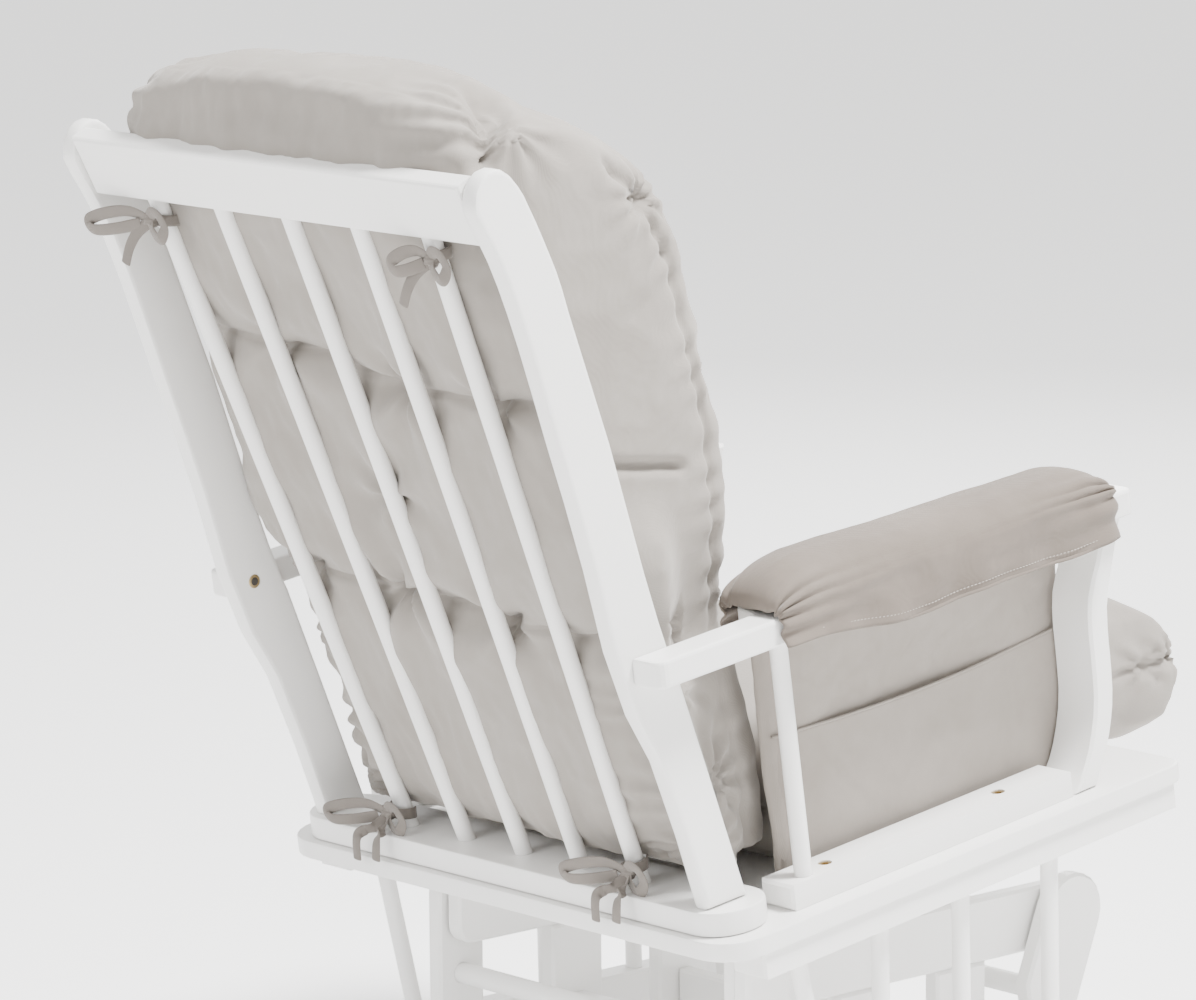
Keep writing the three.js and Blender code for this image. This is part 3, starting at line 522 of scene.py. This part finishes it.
# Pulled points on the cushion's sides (y, z, reach, depth, turn) and on its rear (x, z, reach, depth).
SIDE_GATHERS = ((-74, 150, 130, 6.0, 0.7), (-60, 84, 110, 5.0, 1.9), (-40, 250, 110, 4.0, 2.6))
REAR_GATHERS = ((110, 582, 120, 4.8), (-60, 556, 150, 6.0), (60, 322, 160, 6.6), (-90, 308, 140, 6.0),
                (200, 328, 90, 4.0), (-190, 552, 110, 4.4), (10, 440, 120, 4.4))


def channel_gap(place):
    """Height above or below the nearer of the two sewn channels, which run a little askew."""
    askew = math.tanh(place.x / 100)
    gaps = (place.z - UPPER_CHANNEL - 17 * askew, place.z - LOWER_CHANNEL - 10 * askew)
    return min(gaps, key=abs)


def back_cushion_detail(place, normal):
    """Seams, gathers, channels and folds of the back cushion, as a depth along the normal."""
    side = RIGHT if place.x < 0 else LEFT
    outward = smoothstep(205, 260, abs(place.x))
    depth = 0.0
    if outward > 0:
        flat = Vector((0, place.y, place.z))
        gap, along = from_line(flat, FRONT_SEAM)
        pucker = 2.0 * math.sin(along * 0.19 + math.sin(along * 0.05)) * math.exp(-(gap / 20) ** 2)
        depth += (groove(gap, 4.0, 5.5) + pucker) * outward
        gap, along = from_line(flat, REAR_SEAM)
        pucker = 1.2 * math.sin(along * 0.17 + 1.1) * math.exp(-(gap / 18) ** 2)
        depth += (groove(gap, 3.2, 3.0) + pucker) * outward
    depth += roll_notch(place, side)
    corner = Vector((side * 284, -55, 735))
    depth += gathers(place, corner, 78, 10, 4.6, fan_on_side) + groove((place - corner).length, 18, 11)
    for y, z, reach, size, turn in SIDE_GATHERS:
        depth += gathers(place, Vector((side * 240, y, z)), reach, 10, size, fan_on_side, turn)
    gap = channel_gap(place)
    if normal.y > 0.35:
        depth += groove(gap, 21, 14) + groove(gap, 4, 6.5) + rear_folds(place)
    elif normal.y < -0.35:
        depth += groove(gap, 24, 9) + groove(gap, 3.5, 3.5) + front_folds(place)
    else:
        sewn = smoothstep(-78, -58, place.y) * smoothstep(90, 60, place.y)
        depth += groove(place.z - SIDE_CHANNEL - 0.26 * (place.y - 10), 5.5, 12) * sewn
    return depth + crumple(place, 88, 3.8)


def roll_notch(place, side):
    """The deep fold where the roll over the top rail meets the cushion's front, at either end."""
    line = [Vector((side * 190, 60, 860)), Vector((side * 240, 95, 832)), Vector((side * 285, 140, 800))]
    gap, along = from_line(place, line)
    depth = groove(gap, 15, 30) * smoothstep(0, 40, along + 4)
    return depth + gathers(place, line[1], 120, 11, 4.8, fan_on_side)


def rear_folds(place):
    """Folds that fan out from the sewn channels, where the cushion bends over the back frame."""
    depth = 0
    flat = Vector((place.x, 0, place.z))
    for x, z, reach, size in REAR_GATHERS:
        depth += gathers(flat, Vector((x, 0, z)), reach, 5, 1.4 * size, fan_on_rear, x * 0.02)
    return depth + crumple(place, 62, 4.2, (1.7, 1, 0.6))


def front_folds(place):
    """Small puckers either side of the channels."""
    gap = channel_gap(place)
    pucker = math.sin(place.x * 0.11 + math.sin(place.x * 0.031) * 2)
    return 1.5 * pucker * math.exp(-(abs(gap) / 26) ** 1.5)


# arm covers

COVER_IN, COVER_OUT = 254, 349
COVER_REAR, COVER_FRONT = -107, -566
ARM_TOP = 317
HEM_REAR, HEM_FRONT = 290, 275
PAD_WRAP = 1.32
PANEL_REAR, PANEL_LENGTH = -146, 410
POCKET_REAR, POCKET_LENGTH = -152, 396
POCKET_FOOT, POCKET_MOUTH = 34, 174
PANEL_FACE, POCKET_FACE = 257.5, 261.3
EDGE_ROLL = 5.5
HEM_STEPS, STITCHES, BINDING_STEPS = 60, 84, 48


def hem_height(along):
    return HEM_REAR + (HEM_FRONT - HEM_REAR) * smoothstep(0, 0.42, along) + 1.5 * math.sin(along * 13)


def hem_wave(along, section=1.0):
    return 1.8 * math.sin(along * 21 + 1.4 * section) + 0.9 * math.sin(along * 47)


def cover_pad(side):
    """A crowned pad over the arm, drawn in on to the arm by elastic at both ends."""
    maker = bmesh.new()
    bmesh.ops.create_grid(maker, x_segments=110, y_segments=190, size=1)
    half, middle = (COVER_OUT - COVER_IN) / 2, (COVER_OUT + COVER_IN) / 2
    length = COVER_REAR - COVER_FRONT
    roof = ARM_TOP + 2
    flank = 1 / PAD_WRAP
    for vertex in maker.verts:
        section, along = vertex.co.x, (vertex.co.y + 1) / 2
        to_rear, to_front = along * length, (1 - along) * length
        near = min(max(min(to_rear / 74, to_front / 46), 0), 1)
        full = math.sqrt(1 - (1 - near) ** 2)
        drawn = 1 - full
        turn = (1 + section * PAD_WRAP) * math.pi / 2
        rise = 3 + (43 - 17 * along) * full
        if abs(section) <= flank:
            x = -math.copysign(abs(math.cos(turn)) ** 0.80, math.cos(turn))
            z = roof + rise * max(math.sin(turn), 0) ** 0.82
        else:
            x = math.copysign(1, section)
            z = roof - (abs(section) - flank) / (1 - flank) * (roof - hem_height(along))
        pleated = math.exp(-min(to_rear, to_front) / 50) * smoothstep(0.12, 0.5, abs(section))
        pleat = math.sin(section * 38 + 2 * math.sin(section * 9)) * 3.5 * pleated
        low = smoothstep(roof + 16, HEM_FRONT, z)
        x = middle + x * (half * (1 - 0.16 * drawn) + pleat + hem_wave(along, section) * low)
        y = COVER_REAR - along * length
        spot = Vector((x * 1.2, y * 0.55, z * 1.2 + 200 * side))
        z += pleat * (0.8 if z > ARM_TOP else 0) + crumple(spot, 46, 1.9) * (z > roof)
        x += crumple(spot, 60, 3.4) * math.copysign(1, section) * smoothstep(0.3, 0.7, abs(section))
        vertex.co = Vector((side * x, y, z)) * MM
    piece = thickened("arm_pad_" + SIDE_NAMES[side], maker, side, 2.4, COVER_CLOTH)
    return piece


def thickened(name, maker, side, wall, material):
    """Gives an open sheet its thickness and turns its outside out."""
    if side == LEFT:
        bmesh.ops.reverse_faces(maker, faces=maker.faces)
    bmesh.ops.recalc_face_normals(maker, faces=maker.faces)
    piece = finished(name, maker, material)
    add_thickness(piece, wall)
    apply_modifiers(piece)
    return piece


def cover_panel(side):
    """The inner side of the cover: hangs from the arm to the base rail, slack between."""
    maker = bmesh.new()
    bmesh.ops.create_grid(maker, x_segments=90, y_segments=60, size=1)
    for vertex in maker.verts:
        along, up = (vertex.co.x + 1) / 2, (vertex.co.y + 1) / 2
        y = PANEL_REAR - along * PANEL_LENGTH + 7 * math.sin(up * 3.1) * (0.5 - along)
        z = 36 + up * (286 - 12 * along)
        slack = smoothstep(0, 0.12, up) * smoothstep(1.0, 0.86, up)
        x = PANEL_FACE + slack * (1.6 * math.sin(along * 9 + up * 2) + 0.8 * math.sin(up * 11 + along * 5))
        x += slack * crumple(Vector((y, z * 1.5 + y * 0.5, 40 * side)), 60, 2.4)
        x -= edge_roll(along)
        vertex.co = Vector((side * x, y, z)) * MM
    piece = thickened("side_panel_" + SIDE_NAMES[side], maker, side, 1.8, PANEL_CLOTH)
    return piece


def edge_roll(along):
    """How far the rear edge of a hanging cloth rolls in."""
    return EDGE_ROLL * (1 - smoothstep(0, 0.03, along))


def pocket_dip(along):
    return 7 * math.sin(math.pi * along)


def pocket_slack(along):
    return math.sin(math.pi * min(max(along, 0), 1)) ** 0.7


def pocket_stand_off(along):
    """How far the mouth stands off the panel, less behind the arm post."""
    return (4.6 - 4.2 * smoothstep(0.72, 0.86, along)) * pocket_slack(along)


def cover_pocket(side):
    """The pocket sewn on the panel, its bound mouth sagging open a little."""
    maker = bmesh.new()
    bmesh.ops.create_grid(maker, x_segments=84, y_segments=44, size=1)
    for vertex in maker.verts:
        along, up = (vertex.co.x + 1) / 2, (vertex.co.y + 1) / 2
        y = POCKET_REAR - along * POCKET_LENGTH
        z = POCKET_FOOT + up * (POCKET_MOUTH - POCKET_FOOT - pocket_dip(along))
        x = POCKET_FACE + pocket_stand_off(along) * (0.35 + 0.65 * up)
        ripple = 0.5 * math.sin(along * 17 + up * 3) * pocket_slack(along)
        x += ripple * (1 - smoothstep(0.72, 0.86, along))
        x -= edge_roll(along)
        vertex.co = Vector((side * x, y, z)) * MM
    piece = thickened("side_pocket_" + SIDE_NAMES[side], maker, side, 1.4, PANEL_CLOTH)
    return piece


def bead(name, points, radius, material):
    """A round bead of cloth along points of the seat frame, in mm."""
    sides = 8
    maker = bmesh.new()
    rings = []
    for index, point in enumerate(points):
        before = points[max(index - 1, 0)]
        after = points[min(index + 1, len(points) - 1)]
        made = bmesh.ops.create_circle(maker, segments=sides, radius=radius, cap_ends=False)
        turn = (after - before).to_track_quat("Z", "Y").to_matrix().to_4x4()
        bmesh.ops.transform(maker, matrix=Matrix.Translation(point) @ turn, verts=made["verts"])
        rings.append(list({edge for vert in made["verts"] for edge in vert.link_edges}))
    for before, after in zip(rings, rings[1:]):
        bmesh.ops.bridge_loops(maker, edges=before + after)
    bmesh.ops.holes_fill(maker, edges=maker.edges, sides=sides)
    bmesh.ops.recalc_face_normals(maker, faces=maker.faces)
    bmesh.ops.scale(maker, vec=(MM, MM, MM), verts=maker.verts)
    return finished(name, maker, material)


def hem_share(along):
    """The stretch of the cover's length that has a flat hem, clear of the gathered ends."""
    return 0.10 + along * 0.82


def on_hem(side, along, out, up):
    """A place on the hem's outer face, so far out from it and up from its edge."""
    share = hem_share(along)
    y = COVER_REAR - share * (COVER_REAR - COVER_FRONT)
    return Vector((side * (COVER_OUT + out + hem_wave(share)), y, hem_height(share) + up))


def hem_and_binding(side):
    """The doubled hem of the cover with its row of stitches, and the bound mouth of the pocket."""
    label = SIDE_NAMES[side]
    hem = [on_hem(side, step / HEM_STEPS, 0.4, 1.0) for step in range(HEM_STEPS + 1)]
    bead("cover_hem_" + label, hem, 1.9, COVER_CLOTH)
    maker = bmesh.new()
    for step in range(STITCHES):
        place = on_hem(side, (step + 0.5) / STITCHES, 1.4, 8.0)
        made = bmesh.ops.create_icosphere(maker, subdivisions=1, radius=1)
        shape = Matrix.Translation(place) @ Matrix.Diagonal((0.55, 1.9, 0.55, 1))
        bmesh.ops.transform(maker, matrix=shape, verts=made["verts"])
    bmesh.ops.scale(maker, vec=(MM, MM, MM), verts=maker.verts)
    finished("cover_hem_stitches_" + label, maker, THREAD)
    mouth = []
    for step in range(BINDING_STEPS + 1):
        along = step / BINDING_STEPS
        x = side * (POCKET_FACE + pocket_stand_off(along))
        mouth.append(Vector((x, POCKET_REAR - along * POCKET_LENGTH, POCKET_MOUTH - pocket_dip(along))))
    bead("pocket_binding_" + label, mouth, 1.5, PANEL_CLOTH)


# ties

TIE_WALL = 1.5
UPPER_TIE_HEIGHT, LOWER_TIE_HEIGHT = 717, 64
SPINDLE_RADIUS = 9


def strap(name, points, width, facing):
    """A flat woven tie along points, its face turned towards facing at every point."""
    maker = bmesh.new()
    steps = 6 * (len(points) - 1)
    bmesh.ops.create_grid(maker, x_segments=4, y_segments=steps, size=1)
    out = facing.normalized()
    for vertex in maker.verts:
        across, along = vertex.co.x, (vertex.co.y + 1) / 2
        place, ahead = curve_at(points, along), curve_at(points, min(along + 0.01, 1))
        behind = curve_at(points, max(along - 0.01, 0))
        run = (ahead - behind).normalized()
        broad = run.cross(out).normalized()
        vertex.co = (place + broad * across * width / 2 + out * 0.8 * (1 - across * across)) * MM
    bmesh.ops.recalc_face_normals(maker, faces=maker.faces)
    piece = finished(name, maker, TIE_CLOTH)
    add_thickness(piece, TIE_WALL)
    add_subdivision(piece)
    apply_modifiers(piece)
    return piece


def curve_at(points, share):
    """A smooth curve through the points."""
    spans = len(points) - 1
    place = min(max(share, 0), 1) * spans
    index = min(int(place), spans - 1)
    t = place - index
    p0, p1, p2, p3 = (points[min(max(index + k, 0), spans)] for k in (-1, 0, 1, 2))
    return 0.5 * (2 * p1 + (p2 - p0) * t + (2 * p0 - 5 * p1 + 4 * p2 - p3) * t * t
                  + (3 * p1 - p0 - 3 * p2 + p3) * t ** 3)


def spindle_line(number):
    """Foot and head of a back spindle in the seat frame, from its own box."""
    low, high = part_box("back_spindle_%d" % number)
    radius = SPINDLE_RADIUS * MM
    foot_x, head_x = low[0] + radius, high[0] - radius
    if number <= 3:
        foot_x, head_x = head_x, foot_x
    foot = Vector((foot_x, low[1] + radius, low[2]))
    head = Vector((head_x, high[1] - radius, high[2]))
    return to_seat(foot) / MM, to_seat(head) / MM


def on_spindle(number, height):
    foot, head = spindle_line(number)
    share = (height - foot.z) / (head.z - foot.z)
    return foot.lerp(head, share)


def tie(name, number, height, tails, loops, out_side):
    """A tie sewn to the cushion, passed round a back spindle and knotted in a bow behind it."""
    core = on_spindle(number, height)
    ring = []
    for step in range(9):
        turn = math.radians(-60 + 300 * step / 8)
        ring.append(core + Vector((out_side * 12.5 * math.cos(turn), 12.5 * math.sin(turn), 5 - step * 1.2)))
    rear = Vector((0, 1, -SPINDLE_LEAN))
    made = [wrap(name + "_turn", ring)]
    knot_at = core + Vector((out_side * 6, 14, 0))
    made.append(knot(name + "_knot", knot_at))
    for index, offsets in enumerate(loops):
        points = [knot_at + Vector(offset) for offset in offsets]
        made.append(strap("%s_loop_%d" % (name, index + 1), points, 13, rear))
    for index, offsets in enumerate(tails):
        points = [knot_at + Vector(offset) for offset in offsets]
        made.append(strap("%s_tail_%d" % (name, index + 1), points, 12, rear))
    return made


def wrap(name, ring):
    """The stretch of a tie that lies round the spindle, broad side on."""
    maker = bmesh.new()
    bmesh.ops.create_grid(maker, x_segments=4, y_segments=40, size=1)
    middle = sum(ring, Vector()) / len(ring)
    for vertex in maker.verts:
        along = (vertex.co.y + 1) / 2
        place = curve_at(ring, along)
        out = Vector((place.x - middle.x, place.y - middle.y, 0)).normalized()
        vertex.co = (place + Vector((0, 0, 5.5)) * vertex.co.x + out * 0.4) * MM
    bmesh.ops.recalc_face_normals(maker, faces=maker.faces)
    piece = finished(name, maker, TIE_CLOTH)
    add_thickness(piece, TIE_WALL)
    apply_modifiers(piece)
    return piece


def knot(name, place):
    maker = bmesh.new()
    bmesh.ops.create_icosphere(maker, subdivisions=4, radius=1)
    for vertex in maker.verts:
        fold = 1 + 0.10 * math.sin(vertex.co.x * 7 + vertex.co.z * 4) + 0.06 * math.sin(vertex.co.z * 13)
        swelled = Vector((vertex.co.x * 10, vertex.co.y * 6.5, vertex.co.z * 8)) * fold
        vertex.co = (place + swelled) * MM
    return finished(name, maker, TIE_CLOTH)


def all_ties():
    made = []
    small_loop = [(0, 2, 0), (-10, 6, 9), (-22, 8, 8), (-30, 8, -4), (-22, 9, -16), (-8, 6, -9), (-2, 2, -1)]
    long_loop = [(0, 2, 0), (18, 10, 9), (42, 20, 8), (66, 26, 0), (60, 26, -9), (36, 18, -8), (8, 6, -3)]
    short_loop = [(0.5 * x, 0.8 * y, z) for x, y, z in long_loop]
    hanging = [(2, 3, -3), (14, 8, -12), (24, 12, -26), (32, 14, -44)]
    over_the_edge = [(0, 2, -3), (6, 14, -12), (12, 24, -14), (16, 32, -20), (18, 33, -44)]
    beside_it = [(-2, 2, -3), (-8, 14, -12), (-12, 26, -14), (-14, 32, -24), (-12, 33, -40)]
    for number, out_side in ((1, RIGHT), (5, LEFT)):
        label = SIDE_NAMES[out_side]
        top_loop = long_loop if out_side == LEFT else short_loop
        made += tie("upper_tie_" + label, number, UPPER_TIE_HEIGHT, [hanging], [top_loop, small_loop], out_side)
        tails = [over_the_edge, beside_it]
        loops = [long_loop, small_loop]
        made += tie("lower_tie_" + label, number, LOWER_TIE_HEIGHT, tails, loops, out_side)


# timber

GRAIN_OF = {
    "x": ["back_rail", "top_rail", "seat_board", "base_stretcher", "rear_swing_dowel", "front_swing_dowel"],
    "y": ["under_rail", "arm_base_rail", "lower_rail", "base_rail", "runner", "arm_left", "arm_right"],
    "z": ["upright", "arm_post", "arm_spindle", "back_spindle", "side_spindle", "swing_link", "base_post"],
}
TURNED_OR_SAWN = ("spindle", "upright", "arm_post", "swing_link", "swing_dowel", "axle", "back_rail",
                  "seat_board")


def grain_of(name):
    for axis, kinds in GRAIN_OF.items():
        if any(kind in name for kind in kinds):
            return axis
    return "y"


def material_of(name):
    if name.startswith("arm_bolt"):
        return BRASS
    if "axle" in name or name.startswith("pivot_pin"):
        return STEEL
    return GRAIN[grain_of(name)]


def body_of(name):
    for body, nodes in frame["record"]["behaviour"]["bodies"].items():
        if name in nodes:
            return body
    raise ValueError(name)


def rounded_copy(name):
    """A copy of a turned or sawn piece whose curved faces run smoothly into each other."""
    maker = bmesh.new()
    maker.from_mesh(frame["nodes"][name].data)
    bmesh.ops.remove_doubles(maker, verts=maker.verts, dist=2e-5)
    bmesh.ops.dissolve_limit(maker, angle_limit=math.radians(0.4), verts=maker.verts, edges=maker.edges)
    limit = math.radians(38)
    for edge in maker.edges:
        edge.smooth = len(edge.link_faces) == 2 and edge.calc_face_angle(math.pi) < limit
    piece = finished(name + "_shape", maker, material_of(name), body_of(name), tilted=False)
    even = piece.modifiers.new("even_faces", "WEIGHTED_NORMAL")
    even.keep_sharp = True
    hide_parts(name)
    return piece


def finish_timber():
    for name, node in frame["nodes"].items():
        if any(word in name for word in TURNED_OR_SAWN) and "cushion" not in name:
            rounded_copy(name)
        else:
            node.data.materials.clear()
            node.data.materials.append(material_of(name))


UPRIGHT_INNER, UPRIGHT_FOOT, UPRIGHT_SPLAY = 275, 45, math.radians(1.08)
CAP_HEIGHT = 309


def bolt_cap(name, place, out):
    """A brass barrel nut set in the wood: a rim with a near-black disc in it, painted shade for the hole of its
    socket.
    """
    turn = out.to_track_quat("Z", "Y").to_matrix().to_4x4()
    for part, outer, depth, material in (("rim", 7.0, 1.6, BRASS), ("socket", 4.34, 1.9, SHADOW)):
        maker = bmesh.new()
        bmesh.ops.create_cone(maker, cap_ends=True, segments=32, radius1=outer, radius2=outer, depth=depth)
        sharp = [edge for edge in maker.edges if edge.calc_face_angle(0) > 1]
        bmesh.ops.bevel(maker, geom=sharp, offset=0.5, segments=2, profile=0.5, affect="EDGES", material=-1)
        bmesh.ops.transform(maker, matrix=Matrix.Translation(place) @ turn, verts=maker.verts)
        bmesh.ops.scale(maker, vec=(MM, MM, MM), verts=maker.verts)
        finished("%s_%s" % (name, part), maker, material)


def all_bolt_caps():
    for side in (RIGHT, LEFT):
        label = SIDE_NAMES[side]
        inner = UPRIGHT_INNER + (CAP_HEIGHT - UPRIGHT_FOOT) * math.tan(UPRIGHT_SPLAY)
        bolt_cap("arm_end_cap_" + label, Vector((side * inner, 34, CAP_HEIGHT)), Vector((-side, 0, 0)))


def lay_floor():
    maker = bmesh.new()
    bmesh.ops.create_grid(maker, x_segments=2, y_segments=2, size=40)
    mesh = bpy.data.meshes.new("floor")
    maker.to_mesh(mesh)
    maker.free()
    mesh.materials.append(floor_finish())
    floor = bpy.data.objects.new("floor", mesh)
    bpy.context.scene.collection.objects.link(floor)


place_camera()
light_studio()
lay_floor()
finish_timber()
seat_cushion()
back_cushion()
for side in (RIGHT, LEFT):
    pad = cover_pad(side)
    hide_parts("arm_cover_" + SIDE_NAMES[side])
    cover_panel(side)
    cover_pocket(side)
    hem_and_binding(side)
all_ties()
all_bolt_caps()
